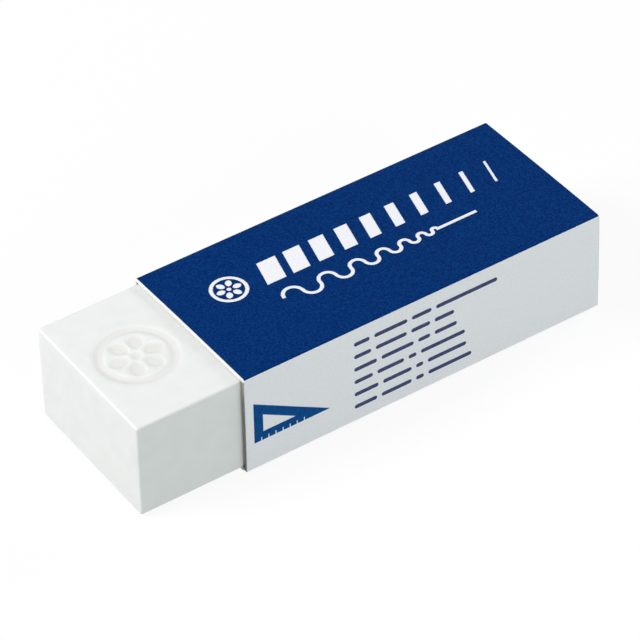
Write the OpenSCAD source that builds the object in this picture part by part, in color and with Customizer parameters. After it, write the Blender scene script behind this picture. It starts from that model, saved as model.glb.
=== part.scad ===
// Block eraser of soft white vinyl in a printed card sleeve.
// The sleeve is one strip of card, folded four times and glued to a flap inside its near side.
// Part frame: +X runs along the print, from the rubbing end to the sleeve's back end, +Y across, +Z up.
// The origin is at the centre of the whole footprint, on the surface that the sleeve stands on.

/* [Eraser block] */
// Length of the block, end to end
block_l = 65; // [62:0.5:80]
// Width of the block
block_w = 21.5; // [18:0.1:28]
// Height of the block
block_h = 13.2; // [11:0.1:18]
// Radius along all edges of the block
block_edge_r = 0.3; // [0.2:0.05:1.2]

/* [Relief in the block] */
// Diameter of the sunk rosette
relief_d = 10; // [8:0.1:12]
// Depth of the sunk rosette
relief_depth = 0.25; // [0.1:0.05:0.8]
// Distance from the block's rubbing end to the rosette's centre
relief_inset = 6.9; // [6.7:0.1:12]

/* [Card sleeve] */
// Length of the sleeve
sleeve_l = 51.5; // [46:0.5:54]
// Thickness of the card
card_t = 0.35; // [0.25:0.01:0.5]
// Inner radius of each fold
fold_inner_r = 0.05; // [0.05:0.05:0.5]
// Height of the glue flap inside the near wall
flap_h = 10; // [5:0.5:10.5]
// Height above the fold that the glue flap keeps its full length
flap_root = 0.3; // [0.1:0.1:1]
// How far each end of the flap is cut back above that
flap_step = 1.6; // [0.5:0.1:4]
// How much further each end is cut back at the flap's free edge
flap_slant = 1.4; // [0:0.1:4]
// Height of the outer panel's raw edge above the card's underside
raw_edge_h = 0.2; // [0.05:0.05:0.5]
// How far the block's tail sits inside the sleeve's back end
tail_inset = 0.4; // [0:0.1:2]

/* [Sliding fit] */
// Gap between the block and the glue flap on the near side
near_gap = 0.25; // [0.05:0.01:0.5]
// Gap between the block and the far wall
far_gap = 0.05; // [0.05:0.01:0.5]
// Gap between the block and the top panel
head_gap = 0.25; // [0.05:0.05:0.6]
// Gap between the block and the bottom panel
floor_gap = 0.05; // [0.02:0.01:0.2]

/* [Ink] */
// Thickness of a printed layer
ink_t = 0.04; // [0.03:0.01:0.08]
// How far the blue's long edges lie below the top of the folds
blue_drop = 0.1; // [0.04:0.01:0.2]

/* [Motif on the top panel] */
// Distance from the sleeve's front edge to the rosette's centre
rosette_inset = 7.8; // [4:0.1:8]
// Diameter of the printed rosette
rosette_d = 4.8; // [3:0.1:5]
// Space between the rosette and the first bar
rosette_gap = 1.7; // [1:0.1:2.5]
// Distance of the rosette and the bars' middle from the panel's middle line
bars_rise = 3.1; // [2.8:0.1:5]
// Height of the bars
bar_h = 4.1; // [2:0.1:5]
// Width of the first and widest bar
bar_first_w = 2.7; // [1:0.1:2.8]
// Width of the last and thinnest bar
bar_last_w = 0.4; // [0.2:0.1:1]
// Distance from one bar to the next
bar_pitch = 3.7; // [3:0.1:6]
// How far each bar leans over its height
bar_lean = 1.1; // [0:0.1:2]
// Least blue left between the last bar and the sleeve's back edge
bars_margin = 4.6; // [2:0.1:6]
// Distance of the wave's middle from the panel's middle line
wave_drop = 2.1; // [1.8:0.1:5]
// Radius of the wave's first half turn
wave_first_r = 1.3; // [0.8:0.05:1.35]
// Radius of the wave's last half turn
wave_last_r = 0.4; // [0.35:0.05:0.6]
// Number of half turns
wave_turns = 13; // [3:1:13]
// Length of the wave's straight end
wave_tail = 6; // [1:0.5:7]
// Width of the wave's line
wave_stroke = 0.5; // [0.3:0.05:0.6]

/* [Motif on the near side] */
// Distance from the sleeve's front edge to the set square
square_inset = 1.2; // [0.5:0.1:3]
// Length of the set square's long leg
square_l = 10.6; // [6:0.1:11]
// Length of the set square's short leg
square_h = 6; // [5:0.1:7]
// Width of the set square's arms
square_arm = 1.25; // [0.6:0.05:1.3]
// Distance between two marks on the long leg
mark_pitch = 1; // [0.6:0.1:2]
// Width of a mark
mark_w = 0.16; // [0.1:0.02:0.3]
// Space between the set square and the rows of dashes
rows_gap = 3.6; // [1:0.1:6]
// Distance between two rows of dashes
row_pitch = 1.91; // [1.2:0.01:1.95]
// Height of a dash
dash_h = 0.54; // [0.3:0.02:0.8]
// Space between two dashes of a row
dash_space = 0.7; // [0.5:0.05:1.2]

/* [Hidden] */
$fn = 64;
through = 1;          // overshoot of every cut
fold_r = fold_inner_r + card_t;
lap_t = 2 * card_t;   // near wall, where the outer panel is glued over the flap
sleeve_w = lap_t + near_gap + block_w + far_gap + card_t;
sleeve_h = block_h + floor_gap + head_gap + 2 * card_t;
reveal = block_l - sleeve_l + tail_inset;
bars_x = rosette_inset + rosette_d / 2 + rosette_gap;
// Lengths of the dashes of each row, from the top row to the bottom one
dash_rows = [
    [2.2, 4.7, 2.8, 8.9],
    [2.4, 4.4, 2.7, 2.8],
    [3.2, 4.6, 1.7, 3.2],
    [2.6, 3.8, 1.1, 6.4],
    [3.4, 4.1, 1.0, 5.6],
    [3.2, 4.3, 1.1, 6.3]
];

// Sleeve frame: origin at the sleeve's front edge, at the near and lower corner of the card.
module in_sleeve_frame() {
    translate([(reveal - sleeve_l) / 2, (ink_t - sleeve_w) / 2, ink_t]) children();
}

// Turns a section drawn as (across, up) into a bar that runs along the sleeve.
module along_sleeve(length) {
    rotate([90, 0, 90]) linear_extrude(length) children();
}

// Quarter of a ring round the origin, in the quadrant that the two signs give.
module quarter_ring(outer_r, inner_r, side, rise) {
    intersection() {
        difference() {
            circle(outer_r);
            circle(inner_r);
        }
        translate([side > 0 ? 0 : -outer_r, rise > 0 ? 0 : -outer_r]) square(outer_r);
    }
}

module card_fold(across, up, side, rise) {
    translate([across, up]) quarter_ring(fold_r, fold_inner_r, side, rise);
}

// Section of the folded strip, from the bottom fold beside the flap round to the outer near panel.
module sleeve_section() {
    bottom_y = card_t + fold_r;
    card_fold(bottom_y, fold_r, -1, -1);
    translate([bottom_y, 0]) square([sleeve_w - fold_r - bottom_y, card_t]);
    card_fold(sleeve_w - fold_r, fold_r, 1, -1);
    translate([sleeve_w - card_t, fold_r]) square([card_t, sleeve_h - 2 * fold_r]);
    card_fold(sleeve_w - fold_r, sleeve_h - fold_r, 1, 1);
    translate([fold_r, sleeve_h - card_t]) square([sleeve_w - 2 * fold_r, card_t]);
    card_fold(fold_r, sleeve_h - fold_r, -1, 1);
    translate([0, raw_edge_h]) square([card_t, sleeve_h - fold_r - raw_edge_h]);
}

// Glue flap that lies inside the outer near panel, with both its ends cut back on a slant.
module glue_flap() {
    root_z = fold_r + flap_root;
    back_end = sleeve_l - flap_step;
    translate([0, lap_t, 0]) rotate([90, 0, 0]) linear_extrude(card_t) {
        translate([0, fold_r]) square([sleeve_l, flap_root]);
        polygon([
            [flap_step, root_z],
            [back_end, root_z],
            [back_end - flap_slant, flap_h],
            [flap_step + flap_slant, flap_h]
        ]);
    }
}

// Section of the blue layer over the top panel, which ends part of the way round both folds beside it.
module top_print_section() {
    outer_r = fold_r + ink_t;
    fold_z = sleeve_h - fold_r;
    intersection() {
        union() {
            translate([fold_r, fold_z]) quarter_ring(outer_r, fold_r, -1, 1);
            translate([fold_r, sleeve_h]) square([sleeve_w - 2 * fold_r, ink_t]);
            translate([sleeve_w - fold_r, fold_z]) quarter_ring(outer_r, fold_r, 1, 1);
        }
        translate([-ink_t, sleeve_h - blue_drop]) square([sleeve_w + 2 * ink_t, blue_drop + ink_t]);
    }
}

// One leaf of the rosette, a lens that lies along +X and is centred on the origin.
module leaf(length, width) {
    r = (pow(length / 2, 2) + pow(width / 2, 2)) / width;
    intersection() {
        translate([0, r - width / 2]) circle(r);
        translate([0, width / 2 - r]) circle(r);
    }
}

// Rosette of six leaves round a dot, inside a ring.
module rosette(diameter) {
    ring_w = 0.105 * diameter;
    dot_r = 0.065 * diameter;
    leaf_l = 0.25 * diameter;
    leaf_w = 0.18 * diameter;
    leaf_x = 0.235 * diameter;
    difference() {
        circle(diameter / 2);
        circle(diameter / 2 - ring_w);
    }
    circle(dot_r);
    for (turn = [0 : 60 : 300])
        rotate(turn) translate([leaf_x, 0]) leaf(leaf_l, leaf_w);
}

// Leaning bars that thin out from the first to the last, as many as the panel takes.
module thinning_bars() {
    run = sleeve_l - bars_margin - bars_x - bar_last_w - bar_lean;
    last = floor(run / bar_pitch);
    for (i = [0 : last]) {
        w = bar_first_w + (bar_last_w - bar_first_w) * i / last;
        translate([bars_x + i * bar_pitch, sleeve_w / 2 + bars_rise - bar_h / 2])
            polygon([[0, 0], [w, 0], [w + bar_lean, bar_h], [bar_lean, bar_h]]);
    }
}

// Half of a ring of the wave's line, open below or above the middle line.
module half_turn(r, rise) {
    outer_r = r + wave_stroke / 2;
    intersection() {
        difference() {
            circle(outer_r);
            circle(r - wave_stroke / 2);
        }
        translate([-outer_r, rise > 0 ? 0 : -outer_r]) square([2 * outer_r, outer_r]);
    }
}

function turn_r(k) = wave_first_r + (wave_last_r - wave_first_r) * k / (wave_turns - 1);
function turn_x(k) = k == 0 ? 0 : turn_x(k - 1) + 2 * turn_r(k - 1);

// A line of even width that swings less and less, up and down, and ends straight.
module settling_wave() {
    translate([bars_x + wave_stroke / 2, sleeve_w / 2 - wave_drop]) {
        for (k = [0 : wave_turns - 1])
            translate([turn_x(k) + turn_r(k), 0]) half_turn(turn_r(k), k % 2 == 0 ? 1 : -1);
        translate([turn_x(wave_turns) - wave_stroke / 2, -wave_stroke / 2]) square([wave_tail, wave_stroke]);
    }
}

module set_square_outline() {
    polygon([[0, 0], [square_l, 0], [0, square_h]]);
}

// Drawing triangle with an open middle and marks along its long leg.
// The opening is the outline shrunk towards the centre of its inscribed circle.
module set_square() {
    in_r = (square_l + square_h - norm([square_l, square_h])) / 2;
    mark_l = 0.4 * square_arm;
    marks_l = 0.72 * square_l;
    difference() {
        set_square_outline();
        translate([in_r, in_r])
            scale((in_r - square_arm) / in_r)
            translate([-in_r, -in_r]) set_square_outline();
        for (x = [mark_pitch : mark_pitch : marks_l])
            translate([x - mark_w / 2, -through]) square([mark_w, through + mark_l]);
    }
}

// Dash with round ends that starts at the origin.
module dash(length) {
    r = dash_h / 2;
    translate([r, 0]) circle(r);
    translate([length - r, 0]) circle(r);
    translate([r, -r]) square([length - dash_h, dash_h]);
}

function row_start(row, k) = k == 0 ? 0 : row_start(row, k - 1) + row[k - 1] + dash_space;

module dash_block() {
    middle = (len(dash_rows) - 1) / 2;
    for (i = [0 : len(dash_rows) - 1])
        for (k = [0 : len(dash_rows[i]) - 1])
            translate([row_start(dash_rows[i], k), (middle - i) * row_pitch]) dash(dash_rows[i][k]);
}

// Rectangle with round corners, centred on the origin.
module round_rectangle(x, y, r) {
    square([x - 2 * r, y], center = true);
    square([x, y - 2 * r], center = true);
    for (sx = [-1, 1], sy = [-1, 1])
        translate([sx * (x / 2 - r), sy * (y / 2 - r)]) circle(r);
}

// Cuboid with all edges rounded: what three crossing rounded bars have in common.
module rounded_block() {
    intersection() {
        linear_extrude(block_h, center = true) round_rectangle(block_l, block_w, block_edge_r);
        rotate([90, 0, 0]) linear_extrude(block_w, center = true)
            round_rectangle(block_l, block_h, block_edge_r);
        rotate([90, 0, 90]) linear_extrude(block_l, center = true)
            round_rectangle(block_w, block_h, block_edge_r);
    }
}

module eraser_block() {
    color([0.93, 0.94, 0.93])
    in_sleeve_frame()
    translate([block_l / 2 - reveal, lap_t + near_gap + block_w / 2, card_t + floor_gap + block_h / 2])
    difference() {
        rounded_block();
        translate([relief_inset - block_l / 2, 0, block_h / 2 - relief_depth])
            linear_extrude(relief_depth + through) rosette(relief_d);
    }
}

module card_sleeve() {
    color([0.88, 0.89, 0.91])
    in_sleeve_frame() {
        along_sleeve(sleeve_l) sleeve_section();
        glue_flap();
    }
}

// The motif on the top panel is bare card that shows through openings in the blue.
module top_print() {
    color([0.03, 0.20, 0.43])
    in_sleeve_frame()
    difference() {
        along_sleeve(sleeve_l) top_print_section();
        translate([0, 0, sleeve_h - through]) linear_extrude(2 * through) {
            translate([rosette_inset, sleeve_w / 2 + bars_rise]) rosette(rosette_d);
            thinning_bars();
            settling_wave();
        }
    }
}

module bottom_print() {
    color([0.03, 0.20, 0.43])
    in_sleeve_frame()
    translate([0, card_t + fold_r, -ink_t]) cube([sleeve_l, sleeve_w - card_t - 2 * fold_r, ink_t]);
}

// Stands a flat figure, drawn as (along, up), on the near side of the sleeve.
module on_near_side() {
    rotate([90, 0, 0]) linear_extrude(ink_t) children();
}

module side_set_square() {
    color([0.07, 0.28, 0.50])
    in_sleeve_frame()
    on_near_side() translate([square_inset, (sleeve_h - square_h) / 2]) set_square();
}

module side_dashes() {
    color([0.25, 0.27, 0.38])
    in_sleeve_frame()
    on_near_side() translate([square_inset + square_l + rows_gap, sleeve_h / 2]) dash_block();
}

eraser_block();
card_sleeve();
top_print();
bottom_print();
side_set_square();
side_dashes();
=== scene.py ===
from math import cos, exp, hypot, pi, radians, sin, tan

import bmesh
import bpy
from mathutils import Matrix, Vector, noise


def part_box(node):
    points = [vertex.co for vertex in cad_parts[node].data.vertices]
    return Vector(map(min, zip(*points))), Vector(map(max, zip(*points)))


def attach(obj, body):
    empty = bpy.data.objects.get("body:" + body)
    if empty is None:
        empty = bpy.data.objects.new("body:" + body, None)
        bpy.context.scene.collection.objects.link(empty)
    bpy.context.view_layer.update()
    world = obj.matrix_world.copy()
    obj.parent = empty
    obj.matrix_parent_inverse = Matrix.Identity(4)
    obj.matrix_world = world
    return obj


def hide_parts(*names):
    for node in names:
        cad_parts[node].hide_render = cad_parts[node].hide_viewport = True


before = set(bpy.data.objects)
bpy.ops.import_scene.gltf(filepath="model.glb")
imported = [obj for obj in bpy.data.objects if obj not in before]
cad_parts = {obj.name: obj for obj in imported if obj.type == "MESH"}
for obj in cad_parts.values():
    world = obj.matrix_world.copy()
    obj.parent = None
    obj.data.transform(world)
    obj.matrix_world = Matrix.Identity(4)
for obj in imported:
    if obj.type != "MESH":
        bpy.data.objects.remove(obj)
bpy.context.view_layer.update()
mm = 0.001
print("frame loaded")


# Small helpers for meshes

def clamp(value, low=0.0, high=1.0):
    return min(max(value, low), high)


def smoothStep(low, high, value):
    t = clamp((value - low) / (high - low))
    return t * t * (3 - 2 * t)


def newPiece(name, points, faces, materials, faceMaterials=None):
    mesh = bpy.data.meshes.new(name)
    mesh.from_pydata(points, [], faces)
    for material in materials:
        mesh.materials.append(material)
    if faceMaterials:
        mesh.polygons.foreach_set("material_index", faceMaterials)
    piece = bpy.data.objects.new(name, mesh)
    bpy.context.scene.collection.objects.link(piece)
    return piece


def shadeByAngle(mesh, degrees):
    work = bmesh.new()
    work.from_mesh(mesh)
    for face in work.faces:
        face.smooth = True
    for edge in work.edges:
        edge.smooth = len(edge.link_faces) == 2 and edge.calc_face_angle() < radians(degrees)
    work.to_mesh(mesh)
    work.free()


# Small helpers for shader nodes

def addNode(tree, kind, inputs=None, **settings):
    node = tree.nodes.new("ShaderNode" + kind)
    for name, value in settings.items():
        setattr(node, name, value)
    for name, value in (inputs or {}).items():
        if isinstance(value, bpy.types.NodeSocket):
            tree.links.new(value, node.inputs[name])
        else:
            node.inputs[name].default_value = value
    return node


def addMath(tree, operation, first, second=0.0):
    return addNode(tree, "Math", {0: first, 1: second}, operation=operation).outputs[0]


def addBlend(tree, factor, first, second):
    node = addNode(tree, "Mix", {"Factor": factor}, data_type="RGBA")
    for socket, value in ((node.inputs[6], first), (node.inputs[7], second)):
        if isinstance(value, bpy.types.NodeSocket):
            tree.links.new(value, socket)
        else:
            socket.default_value = (*value, 1)
    return node.outputs[2]


def addRange(tree, value, fromLow, fromHigh, toLow=0.0, toHigh=1.0):
    settings = {"From Min": fromLow, "From Max": fromHigh, "To Min": toLow, "To Max": toHigh}
    return addNode(tree, "MapRange", {"Value": value, **settings}).outputs[0]


def newGroup(name, inputs, outputs):
    group = bpy.data.node_groups.new(name, "ShaderNodeTree")
    for label, default in inputs.items():
        socket = group.interface.new_socket(label, in_out="INPUT", socket_type="NodeSocketFloat")
        socket.default_value = default
    for label in outputs:
        group.interface.new_socket(label, in_out="OUTPUT", socket_type="NodeSocketFloat")
    given = group.nodes.new("NodeGroupInput").outputs
    result = group.nodes.new("NodeGroupOutput").inputs
    return group, given, result


def useGroup(tree, group, **values):
    node = addNode(tree, "Group", node_tree=group)
    for label, value in values.items():
        node.inputs[label].default_value = value
    return node.outputs


def linear(red, green, blue):
    # an sRGB colour, 0 to 255, as the linear values that the shaders take
    values = []
    for level in (red, green, blue):
        share = level / 255
        values.append(share / 12.92 if level < 10.3 else ((share + 0.055) / 1.055) ** 2.4)
    return tuple(values)


# Shader groups that several materials share

grainLook = {
    "detail": 3,
    "roughness": {"Fine": 0.6, "Cloud": 0.55},
    "cloudSpread": 9.0,         # the clouds are this many times wider than the fine grain
}
speckLook = {
    "leastRadius": 0.3,         # smallest speck, as a share of the given radius
    "softFrom": 0.6,            # where a speck starts to fade, as a share of its own radius
}


def makeGrain():
    group, given, result = newGroup("surfaceGrain", {"Size": 0.3, "Stretch": 1.0}, ("Fine", "Cloud"))
    place = addNode(group, "TexCoord").outputs["Object"]
    parts = addNode(group, "SeparateXYZ", {0: place}).outputs
    along = addMath(group, "DIVIDE", parts[0], given["Stretch"])
    spot = addNode(group, "CombineXYZ", {0: along, 1: parts[1], 2: parts[2]}).outputs[0]
    perMetre = addMath(group, "DIVIDE", 1 / mm, given["Size"])
    wide = addMath(group, "DIVIDE", perMetre, grainLook["cloudSpread"])
    for label, scale in (("Fine", perMetre), ("Cloud", wide)):
        settings = {"Detail": grainLook["detail"], "Roughness": grainLook["roughness"][label]}
        texture = addNode(group, "TexNoise", {"Vector": spot, "Scale": scale, **settings})
        group.links.new(texture.outputs[0], result[label])
    return group


def makeSpecks():
    inputs = {"Spacing": 1.0, "Share": 0.2, "Radius": 0.1}
    group, given, result = newGroup("looseSpecks", inputs, ("Mask",))
    place = addNode(group, "TexCoord").outputs["Object"]
    perMetre = addMath(group, "DIVIDE", 1 / mm, given["Spacing"])
    cells = addNode(group, "TexVoronoi", {"Vector": place, "Scale": perMetre})
    lot = addNode(group, "SeparateXYZ", {0: cells.outputs["Color"]}).outputs
    chosen = addMath(group, "LESS_THAN", lot[0], given["Share"])
    share = addMath(group, "ADD", lot[1], speckLook["leastRadius"])
    radius = addMath(group, "MULTIPLY", given["Radius"], share)
    away = addMath(group, "DIVIDE", cells.outputs["Distance"], radius)
    inside = addRange(group, away, speckLook["softFrom"], 1.0, 1.0, 0.0)
    group.links.new(addMath(group, "MULTIPLY", inside, chosen), result["Mask"])
    return group


grainGroup = makeGrain()
speckGroup = makeSpecks()


# Materials

def newMaterial(name, roughness, gloss):
    material = bpy.data.materials.new(name)
    material.use_nodes = True
    shader = material.node_tree.nodes["Principled BSDF"]
    shader.inputs["Roughness"].default_value = roughness
    shader.inputs["Specular IOR Level"].default_value = gloss
    return material, material.node_tree, shader


def addBump(tree, shader, height, depth):
    bump = addNode(tree, "Bump", {"Height": height, "Distance": depth, "Strength": 1.0})
    tree.links.new(bump.outputs[0], shader.inputs["Normal"])


vinyl = {
    "white": linear(241, 243, 242),
    "shade": linear(238, 240, 239),
    "pressed": linear(237, 236, 234),       # painted shade: the rosette's recess is coloured darker and warmer than the top, where shade falls
    "paintedRecessShadeDark": linear(234, 233, 231),
    "dust": linear(190, 190, 186),
    "roughness": 0.55,
    "gloss": 0.15,
    "softness": 0.3,            # share of light that passes below the surface
    "softReach": 0.3 * mm,
    "softTint": (1.0, 0.95, 0.9),
    "grainSize": 0.25,
    "grainDepth": 0.006 * mm,
    "toneRange": (0.35, 0.65),
    "dustSpecks": {"Spacing": 1.6, "Share": 0.06, "Radius": 0.06},
}


def makeVinyl(name, light, dark):
    material, tree, shader = newMaterial(name, vinyl["roughness"], vinyl["gloss"])
    grain = useGroup(tree, grainGroup, Size=vinyl["grainSize"])
    tone = addRange(tree, grain["Cloud"], *vinyl["toneRange"])
    body = addBlend(tree, tone, dark, light)
    dust = useGroup(tree, speckGroup, **vinyl["dustSpecks"])
    tree.links.new(addBlend(tree, dust["Mask"], body, vinyl["dust"]), shader.inputs["Base Color"])
    shader.inputs["Subsurface Weight"].default_value = vinyl["softness"]
    shader.inputs["Subsurface Radius"].default_value = vinyl["softTint"]
    shader.inputs["Subsurface Scale"].default_value = vinyl["softReach"]
    addBump(tree, shader, grain["Fine"], vinyl["grainDepth"])
    return material


coat = {
    "white": linear(250, 251, 255),
    "shade": linear(242, 243, 248),
    "roughness": 0.5,
    "gloss": 0.3,
    "grain": {"Size": 0.22, "Stretch": 1.5},
    "grainDepth": 0.006 * mm,
    "toneRange": (0.35, 0.65),
}


def makeCard():
    material, tree, shader = newMaterial("coatedCard", coat["roughness"], coat["gloss"])
    grain = useGroup(tree, grainGroup, **coat["grain"])
    tone = addRange(tree, grain["Fine"], *coat["toneRange"])
    tree.links.new(addBlend(tree, tone, coat["shade"], coat["white"]), shader.inputs["Base Color"])
    addBump(tree, shader, grain["Fine"], coat["grainDepth"])
    return material


board = {
    "roughness": 0.9,
    "gloss": 0.2,
    "grain": {"Size": 0.12, "Stretch": 2.5},
    "toneRange": (0.3, 0.7),
    "bareBoard": {
        "light": linear(222, 219, 208), "dark": linear(196, 192, 180), "grainDepth": 0.02 * mm,
    },
    "cutBoard": {
        "light": linear(249, 249, 247), "dark": linear(230, 229, 225), "grainDepth": 0.03 * mm,
    },
    "paintedShadeCutBoard": {           # painted shade: the near wall's cut ends, at the mouth and at the back, are coloured grey for the shade beside the block
        "light": linear(156, 156, 149), "dark": linear(138, 138, 132), "grainDepth": 0.03 * mm,
    },
}


def makeBoard(name):
    look = board[name]
    material, tree, shader = newMaterial(name, board["roughness"], board["gloss"])
    grain = useGroup(tree, grainGroup, **board["grain"])
    tone = addRange(tree, grain["Fine"], *board["toneRange"])
    tree.links.new(addBlend(tree, tone, look["dark"], look["light"]), shader.inputs["Base Color"])
    addBump(tree, shader, grain["Fine"], look["grainDepth"])
    return material


ink = {
    "roughness": 0.55,
    "gloss": 0.03,
    "grain": {"Size": 0.2, "Stretch": 1.3},
    "grainDepth": 0.006 * mm,
    "toneRange": (0.38, 0.66),
    "fleckSpecks": {"Spacing": 0.8, "Share": 0.12, "Radius": 0.07},
    "topBlue": {
        "full": linear(0, 36, 95), "thin": linear(4, 60, 124), "fleck": linear(30, 82, 144),
    },
    "sideBlue": {
        "full": linear(4, 72, 138), "thin": linear(20, 86, 150), "fleck": linear(70, 122, 176),
    },
    "slate": {
        "full": linear(66, 72, 112), "thin": linear(84, 90, 128), "fleck": linear(130, 134, 160),
    },
}


def makeInk(name):
    look = ink[name]
    material, tree, shader = newMaterial(name + "Ink", ink["roughness"], ink["gloss"])
    grain = useGroup(tree, grainGroup, **ink["grain"])
    tone = addRange(tree, grain["Fine"], *ink["toneRange"])
    body = addBlend(tree, tone, look["full"], look["thin"])
    flecks = useGroup(tree, speckGroup, **ink["fleckSpecks"])
    tree.links.new(addBlend(tree, flecks["Mask"], body, look["fleck"]), shader.inputs["Base Color"])
    addBump(tree, shader, grain["Fine"], ink["grainDepth"])
    return material


vinylMaterial = makeVinyl("softWhiteVinyl", vinyl["white"], vinyl["shade"])
# the recess material is painted shade: the rosette's hollow is drawn darker and warmer
paintedRecessShadeMaterial = makeVinyl("paintedRecessShadeVinyl", vinyl["pressed"], vinyl["paintedRecessShadeDark"])
cardMaterial = makeCard()
insideMaterial = makeBoard("bareBoard")
cutMaterial = makeBoard("cutBoard")
# painted shade: grey board colour for the near wall's cut ends
paintedShadeCutMaterial = makeBoard("paintedShadeCutBoard")
topInkMaterial = makeInk("topBlue")
sideInkMaterial = makeInk("sideBlue")
slateMaterial = makeInk("slate")
print("materials made")

sleeveLow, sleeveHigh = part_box("card_sleeve")


# Eraser block: a box with round edges and a soft-edged rosette pressed into its top

block = {
    "edgeRadius": 0.3 * mm,
    "arcSteps": 5,
    "coarseStep": 1.1 * mm,
    "fineStep": 0.1 * mm,       # over and beside the relief
    "wobble": 0.012 * mm,
    "wobbleSize": 14 * mm,
    "endSkew": 0.18 * mm,       # the rubbing end isn't cut quite square
    "endFlare": 0.2 * mm,       # and its near side stands out a little from the mouth on
    "flareReach": 4 * mm,
    "shadeAngle": 60,
}
relief = {
    "diameter": 10 * mm,
    "depth": 0.2 * mm,
    "soft": 0.55 * mm,          # half width of the slope beside its outline
    "inset": 6.9 * mm,
    "margin": 0.6 * mm,
}
rosette = {                     # lengths as shares of its diameter
    "ringWidth": 0.105,
    "dotRadius": 0.065,
    "leaves": 6,
    "leafOut": 0.235,
    "leafLength": 0.25,
    "leafWidth": 0.18,
}


def leafDistance(x, y, length, width):
    # a leaf is the overlap of two equal round discs
    radius = (length * length + width * width) / (4 * width)
    return hypot(x, abs(y) + radius - width / 2) - radius


def rosetteDistance(x, y, diameter):
    # distance to the nearest outline, negative inside the ring, the dot and the leaves
    away = hypot(x, y)
    ringWidth = rosette["ringWidth"] * diameter
    nearest = abs(away - diameter / 2 + ringWidth / 2) - ringWidth / 2
    nearest = min(nearest, away - rosette["dotRadius"] * diameter)
    length, width = rosette["leafLength"] * diameter, rosette["leafWidth"] * diameter
    for turn in range(rosette["leaves"]):
        a = radians(360 * turn / rosette["leaves"])
        along = x * cos(a) + y * sin(a) - rosette["leafOut"] * diameter
        across = y * cos(a) - x * sin(a)
        nearest = min(nearest, leafDistance(along, across, length, width))
    return nearest


def stopsAlong(low, high, radius, fineSpan=None):
    # stops along one side of the box, closer on its round edges and over the fine span
    arc = [radius * tan(radians(45 * i / block["arcSteps"])) for i in range(block["arcSteps"] + 1)]
    stops = [low + radius - a for a in reversed(arc)] + [high - radius + a for a in arc]
    coarse = block["coarseStep"]
    spans = [(low + radius, high - radius, coarse)]
    if fineSpan:
        a, b = fineSpan
        spans = [(low + radius, a, coarse), (a, b, block["fineStep"]), (b, high - radius, coarse)]
    for a, b, step in spans:
        count = max(1, round((b - a) / step))
        stops += [a + (b - a) * i / count for i in range(1, count)]
    if fineSpan:
        stops += list(fineSpan)
    return sorted(stops)


def makeBlock():
    low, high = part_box("eraser_block")
    r = block["edgeRadius"]
    centre = Vector((low.x + relief["inset"], (low.y + high.y) / 2, high.z))
    half = relief["diameter"] / 2 + relief["margin"]
    xs = stopsAlong(low.x, high.x, r, (centre.x - half, centre.x + half))
    ys = stopsAlong(low.y, high.y, r, (centre.y - half, centre.y + half))
    zs = stopsAlong(low.z, high.z, r)
    ends = [(0, len(s) - 1) for s in (xs, ys, zs)]
    step = block["fineStep"]
    points, number = [], {}

    def reliefGap(x, y):
        return rosetteDistance(x - centre.x, y - centre.y, relief["diameter"])

    def pointAt(i, j, k):
        key = (i, j, k)
        if key not in number:
            q = Vector((xs[i], ys[j], zs[k]))
            core = Vector(clamp(q[n], low[n] + r, high[n] - r) for n in range(3))
            out = (q - core).normalized()
            p = core + r * out
            p += out * block["wobble"] * noise.noise(p / block["wobbleSize"])
            if k == ends[2][1]:
                pressed = smoothStep(relief["soft"], -relief["soft"], reliefGap(p.x, p.y))
                p.z -= relief["depth"] * pressed
            bare = clamp((sleeveLow.x - p.x) / (sleeveLow.x - low.x))
            nearness = (low.y + high.y - 2 * p.y) / (high.y - low.y)    # 1 near, -1 far
            p.x -= block["endSkew"] * bare * nearness
            flare = smoothStep(sleeveLow.x + block["flareReach"], sleeveLow.x, p.x)
            p.y -= block["endFlare"] * flare * max(nearness, 0)
            number[key] = len(points)
            points.append(p)
        return number[key]

    faces, kinds = [], []
    for axis in range(3):
        u, v = (axis + 1) % 3, (axis + 2) % 3
        for end in ends[axis]:
            for a in range(ends[u][1]):
                for b in range(ends[v][1]):
                    corners = []
                    for da, db in ((0, 0), (1, 0), (1, 1), (0, 1)):
                        spot = [0, 0, 0]
                        spot[axis], spot[u], spot[v] = end, a + da, b + db
                        corners.append(pointAt(*spot))
                    faces.append(corners if end else corners[::-1])
                    # faces inside the rosette's outline take the painted shade colour of the recess
                    onTop = axis == 2 and end > 0
                    kinds.append(int(onTop and reliefGap(xs[a] + step / 2, ys[b] + step / 2) < 0))
    piece = newPiece("eraserBody", points, faces, [vinylMaterial, paintedRecessShadeMaterial], kinds)
    shadeByAngle(piece.data, block["shadeAngle"])
    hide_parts("eraser_block")
    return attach(piece, "eraser")


# Card sleeve: one folded strip, swept along X, whose panels swell a little

card = {
    "thickness": 0.35 * mm,
    "foldInner": 0.05 * mm,
    "flapHeight": 10 * mm,
    "flapRoot": 0.3 * mm,       # full-length strip of the glue flap beside its fold
    "flapStep": 1.6 * mm,       # how far the flap's ends are cut back above that
    "flapSlant": 1.4 * mm,      # and how much further at its free edge
    "rawEdge": 0.2 * mm,
    "glueGap": 0.01 * mm,
    "step": 0.8 * mm,
    "foldSteps": 6,
    "edgeRound": 0.05 * mm,
    "shadeAngle": 50,
    "bowTop": 0.06 * mm,
    "bowSide": 0.04 * mm,
    "mouthLift": 0.3,           # extra share of the swell at both cut ends
    "mouthReach": 4 * mm,
    "unevenShare": 0.5,         # how much the swell wanders
    "unevenAlong": 11 * mm,
    "unevenAcross": 14 * mm,
    "inkShy": 0.18 * mm,        # rim of bare card left beside the cut mouth
    "backTop": -0.13 * mm,      # the back end isn't cut quite square: short at the top
    "backFoot": 0.1 * mm,       # and long at the foot
}


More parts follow.
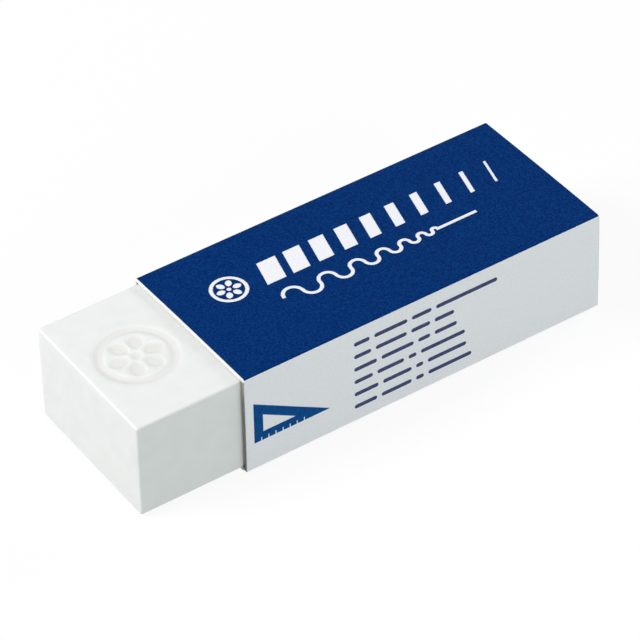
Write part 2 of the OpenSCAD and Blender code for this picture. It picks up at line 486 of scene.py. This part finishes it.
def panelSwell(point):
    x, y, z = point
    fold = card["foldInner"] + card["thickness"]
    fromEnds = min(x - sleeveLow.x, sleeveHigh.x - x)
    lift = 1 + card["mouthLift"] * exp(-max(fromEnds, 0) / card["mouthReach"])
    along, across = card["unevenAlong"], card["unevenAcross"]
    lift += card["unevenShare"] * noise.noise(Vector((x / along, y / across, z / across)))
    if z > sleeveHigh.z - fold:
        share = clamp((y - sleeveLow.y - fold) / (sleeveHigh.y - sleeveLow.y - 2 * fold))
        return Vector((0, 0, card["bowTop"] * lift * 4 * share * (1 - share)))
    share = clamp((z - sleeveLow.z - fold) / (sleeveHigh.z - sleeveLow.z - 2 * fold))
    side = 1 if y > 0 else -1
    return Vector((0, side * card["bowSide"] * lift * 4 * share * (1 - share), 0))


def backEnd(z):
    up = clamp((z - sleeveLow.z) / (sleeveHigh.z - sleeveLow.z))
    return sleeveHigh.x + card["backFoot"] + (card["backTop"] - card["backFoot"]) * up


def foldedStrip():
    # the strip's middle line as (across, up), its outward side, and how far its ends are cut back
    t = card["thickness"]
    fold = card["foldInner"] + t
    middle = card["foldInner"] + t / 2
    width = sleeveHigh.y - sleeveLow.y
    height = sleeveHigh.z - sleeveLow.z
    runs = [
        card["flapHeight"] - fold,
        width - t - card["glueGap"] - 2 * fold,
        height - 2 * fold,
        width - 2 * fold,
        height - fold - card["rawEdge"],
    ]
    spot = Vector((sleeveLow.y + 1.5 * t + card["glueGap"], sleeveLow.z + card["flapHeight"]))
    heading = -pi / 2
    path = []
    for number, run in enumerate(runs):
        count = max(1, round(run / card["step"]))
        ahead = Vector((cos(heading), sin(heading)))
        out = Vector((ahead.y, -ahead.x))
        for i in range(count + 1):
            left = 1 - i / count
            cut = card["flapStep"] + card["flapSlant"] * left if number == 0 else 0
            if number == 0 and i == count:
                for end in (card["flapStep"], 0):
                    path.append((spot + ahead * (run - card["flapRoot"]), out, end))
                cut = 0
            path.append((spot + ahead * run * i / count, out, cut))
        spot = spot + ahead * run
        if number < len(runs) - 1:
            pivot = spot - out * middle
            for i in range(1, card["foldSteps"]):
                a = pi / 2 * i / card["foldSteps"]
                turned = Vector((out.x * cos(a) - out.y * sin(a), out.x * sin(a) + out.y * cos(a)))
                path.append((pivot + turned * middle, turned, 0))
            heading += pi / 2
            spot = pivot + Vector((sin(heading), -cos(heading))) * middle
    return path


def makeSleeve():
    path = foldedStrip()
    length = sleeveHigh.x - sleeveLow.x
    count = round(length / card["step"])
    soft = card["edgeRound"]
    ends = [(0, 1), (soft * 0.3, 0.3), (soft, 0)]       # distance in, and share of the rounding
    inner = [(soft + (length - 2 * soft) * i / count, 0) for i in range(1, count)]
    stations = ends + inner + [(length - along, pull) for along, pull in reversed(ends)]
    points, faces, kinds = [], [], []
    rim = 2 * len(path)
    for along, pull in stations:
        half = card["thickness"] / 2 - soft * pull
        sides = [(*spot, 1) for spot in path] + [(*spot, -1) for spot in reversed(path)]
        for p, out, cut, side in sides:
            q = p + out * half * side
            x = sleeveLow.x + cut + along * (backEnd(p.y) - sleeveLow.x - 2 * cut) / length
            points.append(Vector((x, q.x, q.y)) + panelSwell(Vector((x, p.x, p.y))))
    last = len(path) - 1
    materials = [cardMaterial, insideMaterial, cutMaterial, paintedShadeCutMaterial]
    coated, bare, cutEdge, paintedShadeCutEdge = range(len(materials))

    # cut ends that face the near side get the painted shade colour
    def endKind(i):
        facesNear = path[i][1].x < -0.9
        return paintedShadeCutEdge if facesNear else cutEdge

    endStrips = len(ends) - 1
    for s in range(len(stations) - 1):
        atEnd = s < endStrips or s > len(stations) - 2 - endStrips
        for i in range(rim):
            n = (i + 1) % rim
            faces.append([s * rim + i, s * rim + n, (s + 1) * rim + n, (s + 1) * rim + i])
            if atEnd:
                kinds.append(endKind(min(i, rim - 1 - i)))
            elif i in (last, rim - 1):
                kinds.append(cutEdge)
            else:
                kinds.append(coated if i < last else bare)
    for s in (0, len(stations) - 1):
        for i in range(last):
            ring = [s * rim + i, s * rim + rim - 1 - i, s * rim + rim - 2 - i, s * rim + i + 1]
            faces.append(ring if s == 0 else ring[::-1])
            kinds.append(endKind(i))
    piece = newPiece("sleeveCard", points, faces, materials, kinds)
    work = bmesh.new()
    work.from_mesh(piece.data)
    bmesh.ops.recalc_face_normals(work, faces=work.faces)
    work.to_mesh(piece.data)
    work.free()
    shadeByAngle(piece.data, card["shadeAngle"])
    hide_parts("card_sleeve")
    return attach(piece, "sleeve")


# Printed layers: the same outlines as in the frame, sliced and laid over the swollen panels

printed = {
    "weldGap": 0.0005 * mm,
    "sliceStep": 2 * card["step"],
    "shadeAngle": 30,
}


def makePrint(name, node, material):
    work = bmesh.new()
    work.from_mesh(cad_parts[node].data)
    bmesh.ops.remove_doubles(work, verts=work.verts, dist=printed["weldGap"])
    low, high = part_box(node)
    for axis in range(3):
        count = int((high[axis] - low[axis]) / printed["sliceStep"])
        normal = Vector((axis == 0, axis == 1, axis == 2))
        for i in range(1, count):
            spot = low + (high - low) * i / count
            everything = work.verts[:] + work.edges[:] + work.faces[:]
            bmesh.ops.bisect_plane(work, geom=everything, plane_co=spot, plane_no=normal)
    for vert in work.verts:
        back = backEnd(vert.co.z) - card["edgeRound"]
        vert.co.x = clamp(vert.co.x, sleeveLow.x + card["inkShy"], back)
        vert.co += panelSwell(vert.co)
    mesh = bpy.data.meshes.new(name)
    work.to_mesh(mesh)
    work.free()
    mesh.materials.append(material)
    shadeByAngle(mesh, printed["shadeAngle"])
    piece = bpy.data.objects.new(name, mesh)
    bpy.context.scene.collection.objects.link(piece)
    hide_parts(node)
    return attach(piece, "sleeve")


makeBlock()
print("block made")
makeSleeve()
print("sleeve made")
makePrint("topInk", "top_print", topInkMaterial)
makePrint("setSquareInk", "side_set_square", sideInkMaterial)
makePrint("dashInk", "side_dashes", slateMaterial)
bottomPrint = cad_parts["bottom_print"]
bottomPrint.data.materials.clear()
bottomPrint.data.materials.append(topInkMaterial)
print("prints made")


# Stage: pale floor, soft light and the camera

stage = {
    "floorSize": 3.0,
    "floorDrop": 0.02 * mm,
    "floorSeen": 1.0,           # how pale the floor looks
    "floorBounce": 0.3,         # how much light it throws back at the object
    "floorOpen": 0.5,           # and how much of the light from below it lets through
    "backdropShare": 0.9,       # how much of the floor's look is the plain white backdrop
    "fade": (0.06, 0.25),       # distances over which the floor turns into that backdrop
    "skyStrength": 0.12,
    "belowStrength": 0.6,       # soft light from below, so that the underside isn't black
    "horizon": (-0.05, 0.0),    # heights over which the light from below turns into the sky's
    "tint": (0.95, 1.0, 0.99),
}
lamps = {                       # azimuth 0 is in front of the near side, and 90 beyond the back end
    "keyLamp": {
        "azimuth": -110, "elevation": 39, "distance": 0.6,
        "size": 0.25, "watts": 3.22, "tint": (1, 0.98, 0.98),
    },
    "fillLamp": {
        "azimuth": -3, "elevation": 22, "distance": 0.7,
        "size": 0.28, "watts": 1.62, "tint": (0.95, 1, 0.99),
    },
    "sideLamp": {
        "azimuth": 22, "elevation": 20, "distance": 0.25,
        "size": 0.1, "watts": 0.07, "tint": (0.95, 1, 0.99),
    },
    "backLamp": {
        "azimuth": 100, "elevation": 28, "distance": 0.6,
        "size": 0.25, "watts": 1.35, "tint": (0.93, 0.98, 1),
    },
}


def directionFrom(azimuth, elevation):
    a, e = radians(azimuth), radians(elevation)
    return Vector((sin(a) * cos(e), -cos(a) * cos(e), sin(e)))


def addSeen(tree):
    # 1 for what the camera sees straight, by reflection or through glass, and 0 for light on the object
    path = addNode(tree, "LightPath").outputs
    seen = addMath(tree, "MAXIMUM", path["Is Camera Ray"], path["Is Glossy Ray"])
    return addMath(tree, "MAXIMUM", seen, path["Is Transmission Ray"])


def makeFloor():
    half = stage["floorSize"] / 2
    signs = ((-1, -1), (1, -1), (1, 1), (-1, 1))
    corners = [Vector((x * half, y * half, -stage["floorDrop"])) for x, y in signs]
    material = bpy.data.materials.new("paleFloor")
    material.use_nodes = True
    tree = material.node_tree
    tree.nodes.clear()
    seen = addSeen(tree)
    tone = addRange(tree, seen, 0.0, 1.0, stage["floorBounce"], stage["floorSeen"])
    shade = addNode(tree, "BsdfDiffuse", {"Color": tone})
    white = addNode(tree, "Emission", {"Strength": 1.0})
    place = addNode(tree, "TexCoord").outputs["Object"]
    away = addNode(tree, "VectorMath", {0: place}, operation="LENGTH").outputs["Value"]
    plain = addRange(tree, away, *stage["fade"], stage["backdropShare"], 1.0)
    share = addMath(tree, "MULTIPLY", seen, plain)
    mixed = addNode(tree, "MixShader", {0: share, 1: shade.outputs[0], 2: white.outputs[0]})
    unseen = addRange(tree, seen, 0.0, 1.0, stage["floorOpen"], 0.0)
    below = addNode(tree, "NewGeometry").outputs["Backfacing"]
    gap = addMath(tree, "MAXIMUM", unseen, below)
    clear = addNode(tree, "BsdfTransparent")
    both = addNode(tree, "MixShader", {0: gap, 1: mixed.outputs[0], 2: clear.outputs[0]})
    output = addNode(tree, "OutputMaterial")
    tree.links.new(both.outputs[0], output.inputs["Surface"])
    newPiece("floor", corners, [[0, 1, 2, 3]], [material])


def makeSky():
    world = bpy.data.worlds.new("softSky")
    world.use_nodes = True
    tree = world.node_tree
    towards = addNode(tree, "TexCoord").outputs["Generated"]
    height = addNode(tree, "SeparateXYZ", {0: towards}).outputs["Z"]
    unseen = addRange(tree, height, *stage["horizon"], stage["belowStrength"], stage["skyStrength"])
    seen = addSeen(tree)
    strength = addRange(tree, seen, 0.0, 1.0, unseen, 1.0)
    sky = tree.nodes["Background"]
    tree.links.new(addBlend(tree, seen, stage["tint"], (1, 1, 1)), sky.inputs["Color"])
    tree.links.new(strength, sky.inputs["Strength"])
    bpy.context.scene.world = world


def makeLamp(name):
    look = lamps[name]
    lamp = bpy.data.lights.new(name, "AREA")
    lamp.energy = look["watts"]
    lamp.color = look["tint"]
    lamp.size = look["size"]
    holder = bpy.data.objects.new(name, lamp)
    towards = directionFrom(look["azimuth"], look["elevation"])
    holder.location = towards * look["distance"]
    holder.rotation_mode = "QUATERNION"
    holder.rotation_quaternion = (-towards).to_track_quat("-Z", "Y")
    bpy.context.scene.collection.objects.link(holder)


camera = {
    "azimuth": -34.14,
    "elevation": 40.04,
    "roll": -1.21,
    "distance": 477 * mm,
    "lens": 225.4,
    "sensor": 36,
    "clip": (0.01, 10),
    "aim": Vector((-0.14, 0.29, 6.17)) * mm,
}


def makeCamera():
    back = directionFrom(camera["azimuth"], camera["elevation"])
    right = Vector((0, 0, 1)).cross(back).normalized()
    up = back.cross(right)
    r = radians(camera["roll"])
    rolledRight = right * cos(r) + up * sin(r)
    rolledUp = up * cos(r) - right * sin(r)
    data = bpy.data.cameras.new("camera")
    data.lens = camera["lens"]
    data.sensor_width = camera["sensor"]
    data.clip_start, data.clip_end = camera["clip"]
    holder = bpy.data.objects.new("camera", data)
    turn = Matrix((rolledRight, rolledUp, back)).transposed().to_4x4()
    holder.matrix_world = Matrix.Translation(camera["aim"] + back * camera["distance"]) @ turn
    bpy.context.scene.collection.objects.link(holder)
    bpy.context.scene.camera = holder


makeFloor()
makeSky()
for name in lamps:
    makeLamp(name)
makeCamera()
bpy.context.scene.view_settings.view_transform = "Standard"
print("stage made")
